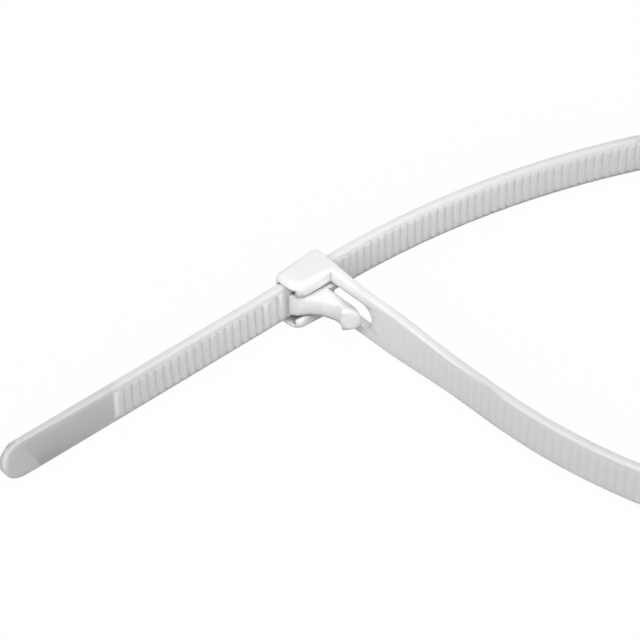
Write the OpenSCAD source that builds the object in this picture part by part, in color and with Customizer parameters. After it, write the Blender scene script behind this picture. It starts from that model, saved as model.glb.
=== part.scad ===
// Releasable cable tie, closed into a loop and lying on its edge.
// The strap runs as one path: out of the head along the neck, round the loop, back through the
// slot of the head and on to the tip. Headings are in degrees in plan, and the path turns left.
// The path starts where the neck and the threaded strap cross, and the origin of the part is the
// middle of the head's underside.

/* [Strap] */
// Width of the strap
strap_w = 4.8; // [3.6:0.1:6]
// Thickness of the strap without its ribs
strap_t = 1.05; // [0.9:0.05:1.3]
// Radius of the two corners of the smooth outer face
corner_r = 0.3; // [0.1:0.05:0.4]
// Bevel along both edges of the ribbed inner face
edge_bevel = 0.2; // [0.05:0.05:0.3]
// Length of the loose end, from the crossing in the head to the tip
tail_len = 43.2; // [36:0.2:60]
// Length of the smooth tongue without ribs at the tip
tongue_len = 14.2; // [8:0.2:20]
// Thickness of the tongue at its very end
tongue_end_t = 0.75; // [0.5:0.05:0.9]

/* [Ribs] */
// Distance from one rib to the next
rib_pitch = 1.06; // [0.9:0.02:1.6]
// Height of a rib above the strap
rib_h = 0.3; // [0.2:0.02:0.4]
// Length of a rib across the strap
rib_len = 3.6; // [2:0.1:4]
// Width of the flat top of a rib
rib_top = 0.6; // [0.3:0.05:0.65]
// Run of the sloped side of a rib, which faces the tip
rib_slope = 0.24; // [0.1:0.02:0.24]

/* [Loop] */
// Straight run of the neck and strap before the loop begins to curve
neck_run = 27; // [24:0.5:32]
// Radius of the slow curve after the neck
near_r = 62; // [50:1:80]
// Turn of the slow curve after the neck
near_turn = 16.5; // [10:0.5:20]
// Radius of the slow curve that leads back to the head
far_r = 103; // [85:1:120]
// Turn of the slow curve that leads back to the head
far_turn = 22.7; // [18:0.1:26]
// Straight run of the strap before it crosses the neck line
far_run = 2.2; // [1:0.2:5]
// Radius of the shoulder on the side that leads back to the head
shoulder_r = 43; // [38:1:50]
// Turn of each of the two shoulders
shoulder_turn = 40; // [30:1:45]

/* [Head] */
// Height of the head, across the strap
head_h = 6.4; // [6:0.1:8]
// Distance of the head's blind end from the crossing
head_end = 1.5; // [1.4:0.05:2.2]
// Distance of the head's neck end from the crossing
head_side = 2.4; // [2.3:0.05:3]
// Distance of the exit face from the crossing
head_front = 5.5; // [5:0.1:7]
// How far the entry face stands out behind the neck at the blind end
head_back = 0.4; // [0.2:0.05:0.6]
// How far the entry face still stands out where the neck begins
shoulder_back = 0.15; // [0.05:0.05:0.2]
// Radius of the upright corner between the entry face and the blind end
entry_corner_r = 0.7; // [0.4:0.1:1]
// Radius of the upright corner between the exit face and the blind end
exit_corner_r = 0.95; // [0.9:0.05:1.2]
// Radius of the upright corner between the exit face and the neck side
cheek_corner_r = 1.5; // [1:0.1:1.8]
// Radius of the edges round the top and the underside at the exit face
exit_edge_r = 0.9; // [0.4:0.05:0.9]
// Radius of the edges round the top and the underside at the entry face
entry_edge_r = 0.2; // [0.1:0.05:0.4]
// Length over which the neck comes down from the height of the head
shoulder_l = 4; // [2.5:0.1:5]
// Clearance between the strap and the walls of the slot
slot_gap = 0.1; // [0.05:0.01:0.15]
// How deep the slot's mouth widens round the end of the pawl
mouth_d = 2.9; // [2:0.1:3.2]
// Distance from the crossing to the far side of the mouth
mouth_x = 1.8; // [1.6:0.05:1.85]

/* [Neck] */
// Width of the neck beside the window
neck_w = 5.8; // [5.4:0.1:6.4]
// Distance of the rounded end of the window from the crossing
window_end = 8.9; // [8.2:0.1:11]
// Height of the window, across the neck
window_h = 3.2; // [3:0.1:3.6]
// Where the neck begins to narrow to the strap
neck_full = 12; // [11.5:0.5:14]
// Where the neck has narrowed to the strap
neck_end = 20; // [17:0.5:22]

/* [Pawl and lever] */
// Height of the pawl and its lever, across the strap
pawl_h = 2.6; // [2:0.1:2.8]
// Thickness of the thin web that the pawl bends on
hinge_t = 0.8; // [0.5:0.05:0.9]
// Depth of the bar at the entry side that carries the web
bar_d = 0.6; // [0.5:0.05:0.8]
// Distance of the pawl's free end from the crossing
pawl_end = 4.7; // [4.2:0.1:5.3]
// Number of teeth on the pawl
pawl_teeth = 3; // [1:1:3]
// Clearance between the pawl's teeth and the ribs
tooth_gap = 0.06; // [0.04:0.01:0.1]
// Distance of the lever's waist from the crossing
waist_x = 5; // [4.7:0.05:5.3]
// Thickness of the lever at its waist
lever_t = 1.2; // [1:0.05:1.3]
// Gap between the lever and the outer face of the neck
lever_gap = 0.75; // [0.6:0.05:0.85]
// Distance of the lever's rounded end from the crossing
lever_reach = 8.05; // [7.8:0.05:8.3]
// Distance from the crossing to the inner side of the bend between pawl and lever
crook_x = 2.8; // [2.6:0.05:3.2]
// Radius of the long hollow on the outer side of the lever
hollow_r = 4.9; // [4.5:0.1:5.5]
// Radius of the hollow that turns up into the tip
tip_r = 1.6; // [1.5:0.05:1.8]
// Radius of the crown across the outer side of the lever
crown_r = 4.5; // [3:0.1:8]
// Radius of the lever's end seen from the side, as a share of half its height
end_round = 1.04; // [1.02:0.01:1.3]

/* [Hidden] */
nylon = [0.93, 0.93, 0.91];
eps = 0.01;
seat = 0.1;
lap = 0.2;
seam = 0.01;
over_turn = 10;
mid_z = head_h / 2;
neck_heading = -45;
exit_heading = 225;

// The two shoulders and the end of the loop close the path. Their headings are fixed by the
// turns above, and the two radii that are left follow from the place where the path has to end.
h_near = neck_heading + near_turn;
h_end_in = h_near + shoulder_turn;
h_far = exit_heading - far_turn;
h_end_out = h_far - shoulder_turn;
function unit(h) = [cos(h), sin(h)];
function chord(a, b) = [sin(b) - sin(a), cos(a) - cos(b)];
function cross2(a, b) = a[0] * b[1] - a[1] * b[0];
left_to_close = -far_run * unit(exit_heading) - neck_run * unit(neck_heading)
    - near_r * chord(neck_heading, h_near) - shoulder_r * chord(h_end_out, h_far)
    - far_r * chord(h_far, exit_heading);
near_chord = chord(h_near, h_end_in);
end_chord = chord(h_end_in, h_end_out);
near_shoulder_r = cross2(left_to_close, end_chord) / cross2(near_chord, end_chord);
end_r = cross2(near_chord, left_to_close) / cross2(near_chord, end_chord);

// Each stretch of the path is its length and its radius, and radius 0 is a straight
function arc_len(r, turn) = r * turn * PI / 180;
path = [
    [neck_run, 0],
    [arc_len(near_r, near_turn), near_r],
    [arc_len(near_shoulder_r, shoulder_turn), near_shoulder_r],
    [arc_len(end_r, h_end_out - h_end_in), end_r],
    [arc_len(shoulder_r, shoulder_turn), shoulder_r],
    [arc_len(far_r, far_turn), far_r],
    [far_run + tail_len - tongue_len, 0]
];

// A pose on the path is x, y and heading
function turned(d, r) = r == 0 ? 0 : d / r * 180 / PI;
function moved(q, d, r) = let (h = q[2] + turned(d, r))
    r == 0 ? [q[0] + d * cos(h), q[1] + d * sin(h), h]
    : [q[0] + r * (sin(h) - sin(q[2])), q[1] - r * (cos(h) - cos(q[2])), h];
function start_pose(i) = i == 0 ? [0, 0, neck_heading]
    : moved(start_pose(i - 1), path[i - 1][0], path[i - 1][1]);
starts = [for (i = [0 : len(path)]) start_pose(i)];
function pose_at(s, i = 0) = s <= path[i][0] || i == len(path) - 1
    ? moved(starts[i], s, path[i][1]) : pose_at(s - path[i][0], i + 1);
function sum_to(i) = i == 0 ? 0 : path[i - 1][0] + sum_to(i - 1);
path_len = sum_to(len(path));

// The ribs are counted back from the tongue to the end of the window
first_rib = window_end + rib_pitch;
rib_count = floor((path_len - first_rib) / rib_pitch);

module place(q) {
    translate([q[0], q[1], mid_z])
        rotate(q[2])
            children();
}

// Section of the strap: x points out of the loop and y is across the strap
module strap_section(w = strap_w, t = strap_t) {
    core = t / 2 - corner_r;
    polygon([
        [-t / 2, edge_bevel - w / 2], [edge_bevel - t / 2, -w / 2], [core, -w / 2],
        [core, w / 2], [edge_bevel - t / 2, w / 2], [-t / 2, w / 2 - edge_bevel]
    ]);
    translate([core - eps, corner_r - w / 2])
        square([corner_r + eps, w - 2 * corner_r]);
    for (side = [-1, 1])
        translate([core, side * (w / 2 - corner_r)])
            circle(r = corner_r, $fn = 24);
}

// A straight stretch along +x of the section that is given
module run(d) {
    translate([d, 0, 0])
        rotate([90, 0, -90])
            linear_extrude(height = d)
                children();
}

// A stretch of the path. It begins a little inside the one before it, and every second one is a
// hair smaller, so that no two faces coincide.
module stretch(i, from = 0) {
    r = path[i][1];
    d = path[i][0] - from + lap;
    slim = seam * ((i + 1) % 2);
    place(moved(starts[i], from - lap, r))
        if (r == 0)
            run(d)
                strap_section(strap_w - slim, strap_t - slim);
        else
            rotate(-90)
                translate([-r, 0, 0])
                    rotate_extrude(angle = turned(d, r), $fn = 180)
                        translate([r, 0])
                            strap_section(strap_w - slim, strap_t - slim);
}

// The strap starts where the neck has narrowed to its width
module strap() {
    stretch(0, neck_end);
    for (i = [1 : len(path) - 1])
        stretch(i);
}

// A rib has a steep side that the pawl catches and a sloped side that faces the tip
module rib() {
    linear_extrude(height = rib_len, center = true)
        polygon([
            [0, strap_t / 2 - seat], [rib_top + rib_slope, strap_t / 2 - seat],
            [rib_top + rib_slope, strap_t / 2], [rib_top, strap_t / 2 + rib_h],
            [0, strap_t / 2 + rib_h]
        ]);
}

module ribs() {
    for (k = [1 : rib_count])
        place(pose_at(path_len - k * rib_pitch))
            rib();
}

// The tongue thins toward its end, which is half round seen from its face
module tongue() {
    flat_len = tongue_len - strap_w / 2;
    place(starts[len(path)])
        intersection() {
            rotate([90, 0, 0])
                linear_extrude(height = 2 * strap_t, center = true)
                    union() {
                        translate([-2 * lap, -strap_w / 2])
                            square([flat_len + 2 * lap, strap_w]);
                        translate([flat_len, 0])
                            circle(d = strap_w, $fn = 64);
                    }
            linear_extrude(height = 2 * strap_w, center = true)
                polygon([
                    [-2 * lap, strap_t / 2], [0, strap_t / 2],
                    [tongue_len, tongue_end_t - strap_t / 2],
                    [tongue_len, -strap_t], [-2 * lap, -strap_t]
                ]);
            translate([-lap, 0, 0])
                run(tongue_len + 2 * lap)
                    strap_section(strap_w - seam, strap_t - seam);
        }
}

// The head and the neck are drawn with the neck along +x and the exit side toward -y
module rounded_square(size, r) {
    translate([r, 0])
        square([size[0] - 2 * r, size[1]]);
    translate([0, r])
        square([size[0], size[1] - 2 * r]);
    for (x = [r, size[0] - r], y = [r, size[1] - r])
        translate([x, y])
            circle(r = r, $fn = 24);
}

entry_y = strap_t / 2 + head_back;
shoulder_y = strap_t / 2 + shoulder_back;

// Middle of the head in plan, from the crossing
head_mid = let (x = (head_side - head_end) / 2, y = (entry_y - head_front) / 2)
    x * unit(neck_heading) + y * unit(neck_heading + 90);

// One upright corner of the head, rounded at its top and bottom edge
module head_corner(x, y, r, edge_r) {
    translate([x, y, 0])
        rotate_extrude($fn = 32)
            intersection() {
                translate([-r, -head_h / 2])
                    rounded_square([2 * r, head_h], min(edge_r, r - seam));
                translate([0, -head_h])
                    square([r, 2 * head_h]);
            }
}

// The entry side is crisp, and the exit side is well rounded
module head_block() {
    hull() {
        head_corner(entry_corner_r - head_end, entry_y - entry_corner_r, entry_corner_r,
            entry_edge_r);
        head_corner(exit_corner_r - head_end, exit_corner_r - head_front, exit_corner_r,
            exit_edge_r);
        head_corner(head_side - cheek_corner_r, cheek_corner_r - head_front,
            cheek_corner_r, exit_edge_r);
        head_corner(head_side - exit_edge_r, -strap_t / 2 - exit_edge_r, exit_edge_r,
            exit_edge_r);
        head_corner(head_side - entry_edge_r, shoulder_y - entry_edge_r, entry_edge_r,
            entry_edge_r);
    }
}

// Seen from the side, the neck comes down from the height of the head to its own width
module shoulder() {
    x = head_side - entry_edge_r - lap;
    hull() {
        translate([x, seam - strap_t / 2, seam - head_h / 2])
            cube([lap, strap_t / 2 + shoulder_y - entry_edge_r, head_h - 2 * seam]);
        translate([x, seam - strap_t / 2, entry_edge_r - head_h / 2])
            cube([lap, strap_t / 2 + shoulder_y - seam, head_h - 2 * entry_edge_r]);
        translate([head_side + shoulder_l - lap, 0, 0])
            run(lap)
                strap_section(neck_w + seam, strap_t - seam);
    }
}

module neck() {
    run(neck_full)
        strap_section(neck_w);
    hull() {
        translate([neck_full - lap, 0, 0])
            run(lap)
                strap_section(neck_w, strap_t);
        translate([neck_end - lap, 0, 0])
            run(lap)
                strap_section();
    }
}

// The slot is open all round the strap and its ribs, and its mouth clears the end of the pawl
module slot() {
    x0 = -strap_t / 2 - slot_gap;
    x1 = strap_t / 2 + rib_h + tooth_gap;
    w = strap_w + 2 * slot_gap;
    translate([x0, -2 * head_front, -w / 2])
        cube([x1 - x0, 4 * head_front, w]);
    translate([x0 + seam, -2 * head_front, seam - w / 2])
        cube([mouth_x - x0, head_front + mouth_d, w - 2 * seam]);
}

// The window opens the neck and lets the pawl and lever move between the cheeks
module window() {
    x0 = strap_t / 2;
    r = window_h / 2;
    rotate([90, 0, 0])
        linear_extrude(height = 4 * head_front, center = true)
            union() {
                translate([x0, -r])
                    square([window_end - r - x0, window_h]);
                translate([window_end - r, 0])
                    circle(r = r, $fn = 48);
            }
}

// Bar across the entry side, which carries the pawl
bar_x = strap_t / 2 + rib_h + slot_gap;
bar_y = strap_t / 2 - bar_d;
module entry_bar() {
    translate([bar_x, bar_y, -window_h / 2 - seat])
        cube([hinge_t, bar_d, window_h + 2 * seat]);
}

// The outer side of the lever is hollow along its length: two arcs meet at its waist
inner_y = -strap_t / 2 - lever_gap;
waist = [waist_x, inner_y - lever_t];
root_angle = 150;
waist_angle = 104;
tip_angle = 0;
end_angle = 227;
long_c = waist - hollow_r * unit(waist_angle);
tip_c = waist - tip_r * unit(waist_angle);
root = long_c + hollow_r * unit(root_angle);

// The end face leans back from the inner corner of the lever to its outer tip
end_corner = [lever_reach, inner_y];
tip = end_corner + 2 * lever_t * unit(end_angle);

// Plan of the pawl and its lever, from the hinge to the free end and out along the lever
pawl_x = strap_t / 2 + rib_h + tooth_gap;
module pawl_plan() {
    polygon([
        [bar_x, bar_y + seat], [bar_x, -strap_t], [pawl_x, -2 * strap_t],
        [pawl_x, -pawl_end], root, tip_c + tip_r / 4 * unit(waist_angle), tip,
        end_corner, [crook_x, inner_y], [crook_x, -strap_t / 3],
        [bar_x + hinge_t, -strap_t / 2], [bar_x + hinge_t, bar_y + seat]
    ]);
}

// Hollow about a centre whose face is crowned across the lever
module hollow(c, r, from, to) {
    translate(c)
        rotate(from)
            rotate_extrude(angle = to - from, $fn = 96)
                difference() {
                    translate([0, -pawl_h])
                        square([r + crown_r / 2, 2 * pawl_h]);
                    translate([r + crown_r, 0])
                        circle(r = crown_r, $fn = 64);
                }
}

// The teeth stand in the gaps between the ribs that pass the pawl
last_gap = floor((tail_len - tongue_len - pawl_end) / rib_pitch) + 1;
module pawl_tooth(k) {
    y = tail_len - tongue_len - k * rib_pitch;
    polygon([
        [strap_t / 2 + tooth_gap, -y + tooth_gap], [pawl_x + seat, -y + tooth_gap],
        [pawl_x + seat, -y + rib_pitch - rib_top - tooth_gap],
        [pawl_x, -y + rib_pitch - rib_top - tooth_gap],
        [strap_t / 2 + tooth_gap, -y + rib_pitch - rib_top - rib_slope - tooth_gap]
    ]);
}

module pawl() {
    r = end_round * pawl_h / 2;
    difference() {
        intersection() {
            linear_extrude(height = pawl_h, center = true)
                union() {
                    pawl_plan();
                    for (k = [0 : pawl_teeth - 1])
                        pawl_tooth(last_gap + k);
                }
            rotate([90, 0, 0])
                linear_extrude(height = 4 * head_front, center = true)
                    union() {
                        translate([0, -pawl_h])
                            square([lever_reach - r, 2 * pawl_h]);
                        translate([lever_reach - r, 0])
                            circle(r = r, $fn = 64);
                    }
        }
        hollow(long_c, hollow_r, waist_angle, root_angle + over_turn);
        hollow(tip_c, tip_r, tip_angle, waist_angle + over_turn);
    }
}

module cable_tie() {
    color(nylon)
    translate([-head_mid[0], -head_mid[1], 0]) {
        rotate(neck_heading)
            translate([0, 0, mid_z]) {
                difference() {
                    union() {
                        head_block();
                        shoulder();
                        neck();
                    }
                    slot();
                    window();
                }
                entry_bar();
                pawl();
            }
        strap();
        ribs();
        tongue();
    }
}

cable_tie();
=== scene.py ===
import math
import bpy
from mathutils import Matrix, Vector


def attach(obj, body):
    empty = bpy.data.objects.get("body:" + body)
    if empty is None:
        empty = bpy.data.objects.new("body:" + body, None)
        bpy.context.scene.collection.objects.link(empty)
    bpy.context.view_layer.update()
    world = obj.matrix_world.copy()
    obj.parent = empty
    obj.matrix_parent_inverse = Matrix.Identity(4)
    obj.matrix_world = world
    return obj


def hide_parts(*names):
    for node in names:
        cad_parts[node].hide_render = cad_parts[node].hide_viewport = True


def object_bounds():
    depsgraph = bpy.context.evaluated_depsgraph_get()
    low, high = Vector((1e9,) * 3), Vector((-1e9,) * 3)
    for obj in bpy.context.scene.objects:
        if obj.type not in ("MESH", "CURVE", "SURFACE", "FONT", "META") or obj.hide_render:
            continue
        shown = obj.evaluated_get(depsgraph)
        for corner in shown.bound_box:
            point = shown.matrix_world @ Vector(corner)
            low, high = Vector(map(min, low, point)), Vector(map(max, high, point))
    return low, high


bl_info = {
    "name": "Cable tie",
    "version": (1, 0, 0),
    "blender": (4, 5, 0),
    "location": "View3D > Sidebar > Cable tie",
    "description": "Finishes the moulded cable tie and sets up its studio",
    "category": "Object",
}

import bpy
from mathutils import Matrix, Vector
from mathutils.kdtree import KDTree

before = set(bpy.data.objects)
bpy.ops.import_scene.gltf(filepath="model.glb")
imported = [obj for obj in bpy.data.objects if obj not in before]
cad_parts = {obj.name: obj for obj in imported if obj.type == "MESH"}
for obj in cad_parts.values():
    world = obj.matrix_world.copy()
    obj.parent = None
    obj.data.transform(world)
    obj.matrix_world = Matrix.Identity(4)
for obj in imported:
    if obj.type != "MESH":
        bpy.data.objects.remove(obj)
CAD_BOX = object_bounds()
MM = 0.001

# The path of the strap in plan and its section, in millimetres and degrees, as the part has them
MID_Z = 3.2
CROSSING = (1.2993, 1.9357)
NECK_HEADING = -45.0
STRAP_W = 4.8
STRAP_T = 1.05
RIB_PITCH = 1.06
RIB_LEN = 3.6
NECK_RUN = 27.0
NEAR = (62.0, 16.5)
FAR = (103.0, 22.7)
FAR_RUN = 2.2
SHOULDER_R = 43.0
SHOULDER_TURN = 40.0
TAIL_LEN = 43.2
TONGUE_LEN = 14.2

# The pawl's free end comes forward, and the slot's roof and floor close in, in millimetres
PAWL_FORWARD = 0.6
ROOF_DOWN = 0.07

# Places in the head's own axes, in millimetres: x along the neck, y toward the slot's entry,
# z up from the middle
HEAD_X = (-1.6, 2.5)
HEAD_Y = (-5.6, 1.0)
HEAD_SIDE = 2.4
NECK_END_X = 16.0
LEVER_Y = -0.6
STRAP_IN_HEAD_X = (-0.54, 0.84)
STRAP_IN_HEAD_Z = 2.42
PAWL_END_Y = -4.7
PAWL_FACE_X = (0.8, 0.95)
PAWL_FACE_Z = 1.35
SLOT_Z = 2.5
SLOT_START_X = -1.0

# How far the head's painted light reaches down the strap, the run of the step to the tongue's
# painted shade, and how far inside a rib's end its painted marks start to fade, in millimetres
FADE_RUN = 45.0
TONGUE_STEP = 0.2
RIB_FADE = 0.1

# The soft light and the floor, in metres and shares
KEY_SIZE = 0.8
KEY_PLACE = (0.0, -0.46, 0.41)
KEY_TARGET = (0.01, 0, 0)
FLOOR_SIZE = 6.0
PAPER_SEEN_WHITE = 0.92
PAPER_GLOW = 1.05
SENSOR_WIDTH = 36.0


def linear(code):
    """An sRGB hex colour as the linear RGBA that the shaders take."""
    parts = [int(code[i : i + 2], 16) / 255 for i in (1, 3, 5)]
    return [c / 12.92 if c <= 0.04045 else ((c + 0.055) / 1.055) ** 2.4 for c in parts] + [1.0]


def add_node(tree, kind, inputs=None, **settings):
    """Adds a node with its settings. An input is a value, or a socket that is linked to it."""
    made = tree.nodes.new(kind)
    for name, value in settings.items():
        setattr(made, name, value)
    for name, value in (inputs or {}).items():
        if isinstance(value, bpy.types.NodeSocket):
            tree.links.new(value, made.inputs[name])
        else:
            made.inputs[name].default_value = value
    return made


def new_material(name):
    """A material with an empty node tree."""
    material = bpy.data.materials.new(name)
    material.use_nodes = True
    material.node_tree.nodes.clear()
    return material


def chord(a, b):
    """How far a left turn of radius 1 goes from heading a to heading b."""
    a, b = math.radians(a), math.radians(b)
    return Vector((math.sin(b) - math.sin(a), math.cos(a) - math.cos(b)))


def unit(heading):
    """One millimetre along a heading."""
    return Vector((math.cos(math.radians(heading)), math.sin(math.radians(heading))))


def strap_path(step=0.25):
    """Points along the middle of the strap, each with its heading and its distance run."""
    leave = NECK_HEADING + 270
    h1 = NECK_HEADING + NEAR[1]
    h2 = h1 + SHOULDER_TURN
    h4 = leave - FAR[1]
    h3 = h4 - SHOULDER_TURN
    left = (
        -FAR_RUN * unit(leave)
        - NECK_RUN * unit(NECK_HEADING)
        - NEAR[0] * chord(NECK_HEADING, h1)
        - SHOULDER_R * chord(h3, h4)
        - FAR[0] * chord(h4, leave)
    )
    first, second = chord(h1, h2), chord(h2, h3)
    both = first.cross(second)
    near_r, end_r = left.cross(second) / both, first.cross(left) / both
    turns = (
        (0, NECK_RUN),
        NEAR,
        (near_r, SHOULDER_TURN),
        (end_r, h3 - h2),
        (SHOULDER_R, SHOULDER_TURN),
        FAR,
        (0, FAR_RUN + TAIL_LEN),
    )
    place, heading, run = Vector(CROSSING), NECK_HEADING, 0.0
    points = []
    for radius, amount in turns:
        length = amount if radius == 0 else radius * math.radians(amount)
        count = max(2, round(length / step))
        for k in range(count):
            d = length * k / count
            turn = 0 if radius == 0 else math.degrees(d / radius)
            moved = d * unit(heading) if radius == 0 else radius * chord(heading, heading + turn)
            points.append((place + moved, heading + turn, run + d))
        turn = 0 if radius == 0 else amount
        if radius == 0:
            place = place + length * unit(heading)
        else:
            place = place + radius * chord(heading, heading + turn)
        heading += turn
        run += length
    return points, run


def thickness_class(x, y, z):
    """How bulky the moulding is at a place of the head: 0 for the thin strap, 1 for the head."""
    in_strap = STRAP_IN_HEAD_X[0] < x < STRAP_IN_HEAD_X[1] and abs(z) < STRAP_IN_HEAD_Z
    beside = not HEAD_Y[0] < y < HEAD_Y[1] or x < HEAD_X[0] or x > NECK_END_X
    if in_strap or beside:
        return 0.0
    if x < HEAD_X[1]:
        return 1.0
    if y < LEVER_Y:
        return max(0.55, 1 - 0.3 * (x - HEAD_X[1]))
    return 0.8 * (1 - (x - HEAD_SIDE) / (NECK_END_X - HEAD_SIDE))


def close_up_head(obj):
    """Brings the pawl's free end forward and the slot's roof and floor near the strap."""
    neck = unit(NECK_HEADING)
    for vertex in obj.data.vertices:
        local = vertex.co.xy / MM - Vector(CROSSING)
        x, y = local.dot(neck), neck.cross(local)
        z = vertex.co.z / MM - MID_Z
        at_pawl_end = abs(y - PAWL_END_Y) < 0.03 and abs(z) < PAWL_FACE_Z
        if at_pawl_end and PAWL_FACE_X[0] < x < PAWL_FACE_X[1]:
            vertex.co.xy -= (PAWL_FORWARD * MM) * unit(NECK_HEADING + 90)
        in_slot = SLOT_START_X < x < HEAD_SIDE and HEAD_Y[0] < y < HEAD_Y[1]
        if in_slot and abs(abs(z) - SLOT_Z) < 0.02:
            vertex.co.z -= math.copysign(ROOF_DOWN * MM, z)


def mark_strap(obj):
    """Gives each corner of the mesh its run along the strap, its side of it and its bulk."""
    points, total = strap_path()
    tree = KDTree(len(points))
    for k, (place, heading, run) in enumerate(points):
        tree.insert((place.x, place.y, 0), k)
    tree.balance()
    values = {"along": [], "outward": [], "bulk": []}
    neck = unit(NECK_HEADING)
    for vertex in obj.data.vertices:
        here = Vector(vertex.co) / MM
        place, heading, run = points[tree.find((here.x, here.y, 0))[1]]
        offset = here.xy - place
        ahead = unit(heading)
        values["along"].append((run + offset.dot(ahead)) / total)
        values["outward"].append(-ahead.cross(offset))
        local = here.xy - Vector(CROSSING)
        values["bulk"].append(
            thickness_class(local.dot(neck), neck.cross(local), here.z - MID_Z)
        )
    for name, column in values.items():
        layer = obj.data.attributes.new(name, "FLOAT", "POINT")
        layer.data.foreach_set("value", column)
    return total


def mask(tree, value, low, high):
    """0 where the value is below low, 1 where it is above high, with a straight rise between."""
    made = add_node(tree, "ShaderNodeMapRange", {"Value": value, "From Min": low, "From Max": high})
    return made.outputs["Result"]


def between(tree, share, at_zero, at_one):
    """The value at_zero where the share is 0, at_one where it is 1, and in between."""
    made = add_node(
        tree, "ShaderNodeMapRange", {"Value": share, "To Min": at_zero, "To Max": at_one}
    )
    return made.outputs["Result"]


def maths(tree, operation, first, second=None):
    """The result of one Math node, whose inputs are numbers or sockets."""
    inputs = {0: first} if second is None else {0: first, 1: second}
    return add_node(tree, "ShaderNodeMath", inputs, operation=operation).outputs["Value"]


def mix(tree, share, first, second):
    """The first colour turned into the second by the share, which can be a socket."""
    made = tree.nodes.new("ShaderNodeMix")
    made.data_type = "RGBA"
    for socket, value in ((0, share), (6, first), (7, second)):
        if isinstance(value, bpy.types.NodeSocket):
            tree.links.new(value, made.inputs[socket])
        else:
            made.inputs[socket].default_value = value
    return made.outputs[2]


def painted_strap_shade(tree, props, along, total):
    """Painted shade along the thin strap's run, palest by the head and greyest in the tongue: it
    stands in for light that the thin nylon lets through and for light falling off away from the
    head.
    """
    loop = total - TAIL_LEN
    tongue = total - TONGUE_LEN
    stops = (
        (0, props.strap_light_by_head_hex),
        (FADE_RUN, props.strap_shade_far_off_hex),
        (loop - FADE_RUN, props.strap_shade_far_off_hex),
        (loop, props.strap_light_by_head_hex),
        (tongue, props.strap_shade_far_off_hex),
        (tongue + TONGUE_STEP, props.tongue_shade_hex),
    )
    ramp = add_node(tree, "ShaderNodeValToRGB", {"Fac": along})
    elements = ramp.color_ramp.elements
    while len(elements) < len(stops):
        elements.new(1.0)
    for element, (run, code) in zip(elements, stops):
        element.position = run / total
        element.color = linear(code)
    return ramp.outputs["Color"]


def over_ribs(tree, off_middle, past):
    """1 over the length of the ribs, falling to 0 at past millimetres beyond their ends."""
    return mask(tree, off_middle, (RIB_LEN / 2 + past) * MM, (RIB_LEN / 2 - RIB_FADE) * MM)


def painted_rib_stripes(tree, props, along, outward, off_middle, total):
    """How far the smooth outer face is lightened in painted light stripes at the pitch of the ribs,
    standing in for the ribs showing through the translucent nylon.
    """
    from_tongue = maths(tree, "SUBTRACT", along, (total - TONGUE_LEN) / total)
    phase = maths(tree, "FRACT", maths(tree, "MULTIPLY", from_tongue, total / RIB_PITCH))
    off_half = maths(tree, "ABSOLUTE", maths(tree, "SUBTRACT", phase, 0.5))
    stripe = maths(tree, "SUBTRACT", 1.0, maths(tree, "MULTIPLY", off_half, 2.0))
    stripe = mask(tree, stripe, 0.2, 0.6)
    outer = mask(tree, outward, STRAP_T / 2 - 0.06, STRAP_T / 2 - 0.02)
    shown = maths(tree, "MULTIPLY", outer, over_ribs(tree, off_middle, 0.1))
    return maths(tree, "MULTIPLY", maths(tree, "MULTIPLY", stripe, shown), props.rib_light_share)


def light_in_gaps(tree, props, along, outward, inner, off_middle, total):
    """How far painted light lightens the shaded bottoms of the gaps between the ribs, up to the
    tongue.
    """
    tongue = total - TONGUE_LEN
    share = maths(
        tree, "MULTIPLY", inner, mask(tree, outward, -STRAP_T / 2 - 0.2, -STRAP_T / 2 - 0.05)
    )
    share = maths(tree, "MULTIPLY", share, over_ribs(tree, off_middle, 0.05))
    before_tongue = mask(tree, along, (tongue + 0.3) / total, tongue / total)
    share = maths(tree, "MULTIPLY", share, before_tongue)
    return maths(tree, "MULTIPLY", share, props.gap_light)


def painted_recess_shade(tree, props, bulk, inner):
    """How far painted shade darkens a place in a recess, such as the one under the lever.

    An upright wall in the open sees half of the sky. One that sees clearly less is in a recess and
    gets the painted shade, and so do faces turned down, which see none of the sky above.
    """
    upward = add_node(tree, "ShaderNodeCombineXYZ", {"Z": 1.0}).outputs["Vector"]
    sky = add_node(
        tree,
        "ShaderNodeAmbientOcclusion",
        {"Distance": props.recess_size, "Normal": upward},
        samples=8,
    ).outputs["AO"]
    share = maths(tree, "MULTIPLY", mask(tree, sky, 0.36, 0.02), props.recess_shade_share)
    not_ribbed = maths(tree, "MAXIMUM", bulk, maths(tree, "SUBTRACT", 1.0, inner))
    return maths(tree, "MULTIPLY", share, not_ribbed)


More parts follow.
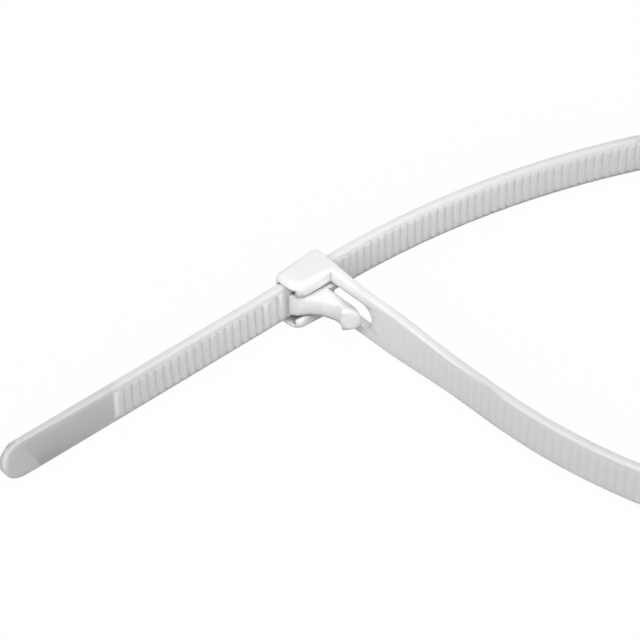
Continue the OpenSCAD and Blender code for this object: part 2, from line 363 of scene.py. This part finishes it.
def natural_nylon(props, total):
    """Natural polyamide 66, injection moulded in a lightly textured steel tool.

    It is milky and lets light through. Painted light and shade stand in for that: it is painted
    whitest where it is bulky, at the head, and greyer where it is thin, along the strap and most of
    all in the tongue, and the painted grey also stands in for light falling off away from the head.
    Painted light stripes stand in for the ribs showing faintly through the smooth outer face,
    painted light lifts the shade in the gaps between the ribs, and painted shade darkens the
    recesses, such as under the lever, and faces turned down. Its gloss is a broad satin sheen.
    """
    material = new_material("natural_polyamide_66_moulded")
    tree = material.node_tree
    nylon = linear(props.nylon_hex)
    place = add_node(tree, "ShaderNodeTexCoord").outputs["Object"]
    flow = add_node(
        tree,
        "ShaderNodeTexNoise",
        {"Vector": place, "Scale": 1 / props.cloud_size, "Detail": 3.0, "Roughness": 0.5},
    ).outputs["Fac"]
    grain = add_node(
        tree,
        "ShaderNodeTexNoise",
        {"Vector": place, "Scale": 1 / (props.grain_size * 2), "Detail": 2.0, "Roughness": 0.6},
    ).outputs["Fac"]
    along, outward, bulk = (
        add_node(tree, "ShaderNodeAttribute", attribute_name=name).outputs["Fac"]
        for name in ("along", "outward", "bulk")
    )
    height = add_node(tree, "ShaderNodeSeparateXYZ", {"Vector": place}).outputs["Z"]
    off_middle = maths(tree, "ABSOLUTE", maths(tree, "SUBTRACT", height, MID_Z * MM))
    inner = mask(tree, outward, -STRAP_T / 2 + 0.08, -STRAP_T / 2 + 0.02)

    stripes = painted_rib_stripes(tree, props, along, outward, off_middle, total)
    gaps = light_in_gaps(tree, props, along, outward, inner, off_middle, total)
    # Painted shade greys the strap away from the head, and painted light stripes stand in for the
    # ribs showing through its outer face
    tone = mix(tree, stripes, painted_strap_shade(tree, props, along, total), nylon)
    # Painted light lifts the shade in the gaps between the ribs
    tone = mix(tree, gaps, tone, nylon)
    # Painted light turns the bulky head and lever whiter
    tone = mix(tree, bulk, tone, nylon)
    cloud = maths(tree, "MULTIPLY", mask(tree, flow, 0.4, 0.7), props.cloud_share)
    tone = mix(tree, cloud, tone, linear(props.cloud_hex))
    # Painted shade darkens recesses, such as under the lever, and faces turned down
    tone = mix(tree, painted_recess_shade(tree, props, bulk, inner), tone, linear(props.recess_shade_hex))

    rough = add_node(
        tree,
        "ShaderNodeMapRange",
        {"Value": grain, "From Min": 0.3, "From Max": 0.7, "To Min": 0.34, "To Max": 0.46},
    ).outputs["Result"]
    radius = maths(
        tree, "ADD", maths(tree, "MULTIPLY", bulk, props.head_round), props.edge_round
    )
    rounded = add_node(tree, "ShaderNodeBevel", {"Radius": radius}, samples=16).outputs["Normal"]
    bump = add_node(
        tree,
        "ShaderNodeBump",
        {"Height": grain, "Strength": 0.04, "Distance": 0.02 * MM, "Normal": rounded},
    ).outputs["Normal"]
    shader = add_node(
        tree,
        "ShaderNodeBsdfPrincipled",
        {
            "Base Color": tone,
            "Roughness": rough,
            "Normal": bump,
            "IOR": 1.53,
            "Subsurface Weight": 1.0,
            "Subsurface Radius": (1.0, 1.0, 0.95),
            "Subsurface Scale": between(tree, bulk, 1.5 * MM, 0.4 * MM),
            "Specular IOR Level": 0.5,
        },
    )
    add_node(tree, "ShaderNodeOutputMaterial", {"Surface": shader.outputs["BSDF"]})
    return material


def deselect_all():
    """Leave nothing selected."""
    for obj in bpy.context.selected_objects:
        obj.select_set(False)


def make_active(obj):
    """Select one object alone and make it active."""
    deselect_all()
    obj.select_set(True)
    bpy.context.view_layer.objects.active = obj


def copy_of_node(name, new_name):
    """A copy of a CAD node's mesh as a new object, with its loose triangles merged."""
    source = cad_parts[name]
    obj = bpy.data.objects.new(new_name, source.data.copy())
    bpy.context.scene.collection.objects.link(obj)
    obj.data.name = new_name
    obj.data.materials.clear()
    make_active(obj)
    bpy.ops.object.mode_set(mode="EDIT")
    bpy.ops.mesh.select_all(action="SELECT")
    bpy.ops.mesh.remove_doubles(threshold=0.012 * MM)
    bpy.ops.object.mode_set(mode="OBJECT")
    return obj


class TieProps(bpy.types.PropertyGroup):
    """Finish of the moulding."""

    nylon_hex: bpy.props.StringProperty(
        name="Nylon colour",
        description="Colour of the natural nylon, as sRGB hex",
        default="#fafaf9",
    )
    # Painted light: the strap is palest where it leaves the head
    strap_light_by_head_hex: bpy.props.StringProperty(
        name="Strap tone by the head",
        description="Colour of the thin strap where it leaves the head, as sRGB hex",
        default="#efefee",
    )
    # Painted shade: the strap turns greyer away from the head
    strap_shade_far_off_hex: bpy.props.StringProperty(
        name="Strap tone far off",
        description="Colour of the thin strap away from the head, as sRGB hex",
        default="#d8d8d7",
    )
    # Painted shade: the tongue, the thinnest place, is greyest
    tongue_shade_hex: bpy.props.StringProperty(
        name="Tongue tone",
        description="Colour of the tapered tongue, the thinnest place, as sRGB hex",
        default="#cfcfce",
    )
    # Painted light: stripes at the ribs' pitch stand in for the ribs showing through the outer face
    rib_light_share: bpy.props.FloatProperty(
        name="Ribs showing through",
        description="How much stripes at the ribs' pitch lighten the outer face",
        default=0.17,
    )
    # Painted light that lifts the shade in the gaps between the ribs
    gap_light: bpy.props.FloatProperty(
        name="Light in the gaps",
        description="How far the gaps between the ribs turn to the nylon colour",
        default=0.85,
    )
    # Painted shade for the deepest recesses and for faces turned down
    recess_shade_hex: bpy.props.StringProperty(
        name="Recess tone",
        description="Colour that the deepest recesses of the head turn to, as sRGB hex",
        default="#5c5c5c",
    )
    # How far the painted shade darkens the recesses
    recess_shade_share: bpy.props.FloatProperty(
        name="Recess dimming",
        description="How far the deepest recesses turn to the recess tone",
        default=0.9,
    )
    recess_size: bpy.props.FloatProperty(
        name="Recess size",
        description="Distance over which neighbouring walls make a recess",
        default=4.0 * MM,
        subtype="DISTANCE",
        unit="LENGTH",
    )
    cloud_hex: bpy.props.StringProperty(
        name="Cloud colour",
        description="Colour of the faint clouds that flow leaves in the nylon, as sRGB hex",
        default="#efefee",
    )
    cloud_size: bpy.props.FloatProperty(
        name="Cloud size",
        description="Size of the faint clouds",
        default=9 * MM,
        subtype="DISTANCE",
        unit="LENGTH",
    )
    cloud_share: bpy.props.FloatProperty(
        name="Cloud share",
        description="How far the clouds turn the nylon to their own colour",
        default=0.05,
    )
    grain_size: bpy.props.FloatProperty(
        name="Grain size",
        description="Size of the fine texture that the tool leaves",
        default=0.25 * MM,
        subtype="DISTANCE",
        unit="LENGTH",
    )
    edge_round: bpy.props.FloatProperty(
        name="Edge round",
        description="Radius that the tool leaves on the moulding's edges",
        default=0.12 * MM,
        subtype="DISTANCE",
        unit="LENGTH",
    )
    head_round: bpy.props.FloatProperty(
        name="Head round",
        description="How much softer the edges of the head and the lever are",
        default=0.25 * MM,
        subtype="DISTANCE",
        unit="LENGTH",
    )
    smooth_angle: bpy.props.FloatProperty(
        name="Smooth angle",
        description="Edges flatter than this shade smooth",
        default=math.radians(32),
        subtype="ANGLE",
        unit="ROTATION",
    )


class StudioProps(bpy.types.PropertyGroup):
    """Camera, floor and light."""

    lens: bpy.props.FloatProperty(
        name="Lens",
        description="Focal length in millimetres on a 36 mm sensor",
        default=141.3,
    )
    distance: bpy.props.FloatProperty(
        name="Camera distance",
        description="Distance from the camera to the point that it aims at",
        default=275 * MM,
        subtype="DISTANCE",
        unit="LENGTH",
    )
    elevation: bpy.props.FloatProperty(
        name="Elevation",
        description="How far the camera looks down",
        default=math.radians(41.627),
        subtype="ANGLE",
        unit="ROTATION",
    )
    heading: bpy.props.FloatProperty(
        name="Heading",
        description="How far the camera is turned about the vertical from looking along +Y",
        default=math.radians(1.967),
        subtype="ANGLE",
        unit="ROTATION",
    )
    roll: bpy.props.FloatProperty(
        name="Roll",
        description="How far the camera is turned about its own line of sight",
        default=math.radians(0.554),
        subtype="ANGLE",
        unit="ROTATION",
    )
    aim: bpy.props.FloatVectorProperty(
        name="Aim",
        description="The point that the picture's centre shows",
        default=(1.509 * MM, -0.248 * MM, -0.747 * MM),
        subtype="TRANSLATION",
        unit="LENGTH",
    )
    floor_hex: bpy.props.StringProperty(
        name="Floor colour",
        description="Colour of the floor, as sRGB hex",
        default="#a8a8a8",
    )
    key_power: bpy.props.FloatProperty(
        name="Key light",
        description="Power of the large soft light above and behind the camera",
        default=3.2,
        unit="POWER",
    )
    fill_level: bpy.props.FloatProperty(
        name="Fill level",
        description="Strength of the even light from all round",
        default=0.6,
    )


class TIE_OT_moulding(bpy.types.Operator):
    """Finish the one-piece nylon moulding: soft edges, smooth curves and the nylon itself"""

    bl_idname = "tie.moulding"
    bl_label = "Moulded tie"

    def execute(self, context):
        props = context.scene.tie_finish
        tie = copy_of_node("cable_tie", "tie_moulding")
        close_up_head(tie)
        total = mark_strap(tie)
        tie.data.materials.append(natural_nylon(props, total))
        make_active(tie)
        bpy.ops.object.shade_smooth_by_angle(angle=props.smooth_angle)
        weighted = tie.modifiers.new("weighted", "WEIGHTED_NORMAL")
        weighted.keep_sharp = True
        bpy.ops.object.modifier_apply(modifier=weighted.name)
        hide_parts("cable_tie")
        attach(tie, "root")
        return {"FINISHED"}


def camera_axes(props):
    """The camera's right, up and backward directions."""
    turn = Matrix.Rotation(props.heading, 3, "Z")
    level = turn @ Vector((1, 0, 0))
    lift = turn @ Vector((0, math.sin(props.elevation), math.cos(props.elevation)))
    back = turn @ Vector((0, -math.cos(props.elevation), math.sin(props.elevation)))
    right = level * math.cos(props.roll) + lift * math.sin(props.roll)
    up = lift * math.cos(props.roll) - level * math.sin(props.roll)
    return right, up, back


def seen_by(tree, *rays):
    """1 for the camera's rays and the other kinds of ray that are named, 0 for the rest."""
    path = add_node(tree, "ShaderNodeLightPath")
    seen = path.outputs["Is Camera Ray"]
    for ray in rays:
        seen = maths(tree, "MAXIMUM", seen, path.outputs[ray])
    return seen


def floor_material(props):
    """Matt paper that the camera sees almost white, with a trace of the tie's shadow."""
    material = new_material("white_paper_sweep")
    tree = material.node_tree
    seen = seen_by(tree, "Is Glossy Ray", "Is Transmission Ray")
    share = maths(tree, "MULTIPLY", seen, PAPER_SEEN_WHITE)
    paper = add_node(
        tree, "ShaderNodeBsdfDiffuse", {"Color": linear(props.floor_hex), "Roughness": 0.9}
    )
    glow = add_node(tree, "ShaderNodeEmission", {"Color": (1, 1, 1, 1), "Strength": PAPER_GLOW})
    mixed = add_node(
        tree,
        "ShaderNodeMixShader",
        {0: share, 1: paper.outputs["BSDF"], 2: glow.outputs["Emission"]},
    )
    add_node(tree, "ShaderNodeOutputMaterial", {"Surface": mixed.outputs["Shader"]})
    return material


def add_light(name, power, size, place, target):
    """A square soft light at place that points at target."""
    data = bpy.data.lights.new(name, "AREA")
    data.energy = power
    data.size = size
    lamp = bpy.data.objects.new(name, data)
    bpy.context.scene.collection.objects.link(lamp)
    lamp.location = place
    lamp.rotation_euler = (Vector(target) - Vector(place)).to_track_quat("-Z", "Y").to_euler()


class TIE_OT_studio(bpy.types.Operator):
    """Set up the paper floor, the soft light and the camera"""

    bl_idname = "tie.studio"
    bl_label = "Studio"

    def execute(self, context):
        scene = context.scene
        props = scene.tie_studio
        deselect_all()
        bpy.ops.mesh.primitive_plane_add(size=FLOOR_SIZE, location=(0, 0, CAD_BOX[0][2]))
        floor = context.object
        floor.name = "floor"
        bpy.ops.object.transform_apply(location=True, rotation=True, scale=True)
        floor.data.materials.append(floor_material(props))

        world = bpy.data.worlds.new("studio")
        scene.world = world
        world.use_nodes = True
        tree = world.node_tree
        tree.nodes.clear()
        level = between(tree, seen_by(tree, "Is Glossy Ray"), props.fill_level, 1.0)
        sky = add_node(
            tree, "ShaderNodeBackground", {"Color": (1, 1, 1, 1), "Strength": level}
        )
        add_node(tree, "ShaderNodeOutputWorld", {"Surface": sky.outputs["Background"]})

        add_light("front", props.key_power, KEY_SIZE, KEY_PLACE, KEY_TARGET)

        data = bpy.data.cameras.new("camera")
        data.lens = props.lens
        data.sensor_width = SENSOR_WIDTH
        data.clip_start = 0.01
        camera = bpy.data.objects.new("camera", data)
        scene.collection.objects.link(camera)
        right, up, back = camera_axes(props)
        camera.matrix_world = Matrix.Translation(
            Vector(props.aim) + back * props.distance
        ) @ Matrix((right, up, back)).transposed().to_4x4()
        scene.camera = camera
        scene.view_settings.view_transform = "Standard"
        return {"FINISHED"}


class TIE_PT_panel(bpy.types.Panel):
    """Sizes and colours of the tie, and the buttons that make it"""

    bl_idname = "TIE_PT_panel"
    bl_label = "Cable tie"
    bl_space_type = "VIEW_3D"
    bl_region_type = "UI"
    bl_category = "Cable tie"

    def draw(self, context):
        layout = self.layout
        for group, operator in (("tie_finish", "tie.moulding"), ("tie_studio", "tie.studio")):
            box = layout.box()
            props = getattr(context.scene, group)
            for name in props.bl_rna.properties.keys():
                if name not in ("name", "rna_type"):
                    box.prop(props, name)
            box.operator(operator)


CLASSES = (TieProps, StudioProps, TIE_OT_moulding, TIE_OT_studio, TIE_PT_panel)


def register():
    for cls in CLASSES:
        bpy.utils.register_class(cls)
    bpy.types.Scene.tie_finish = bpy.props.PointerProperty(type=TieProps)
    bpy.types.Scene.tie_studio = bpy.props.PointerProperty(type=StudioProps)


def unregister():
    del bpy.types.Scene.tie_studio
    del bpy.types.Scene.tie_finish
    for cls in reversed(CLASSES):
        bpy.utils.unregister_class(cls)


def main():
    register()
    bpy.ops.tie.moulding()
    bpy.ops.tie.studio()


if __name__ == "__main__":
    main()
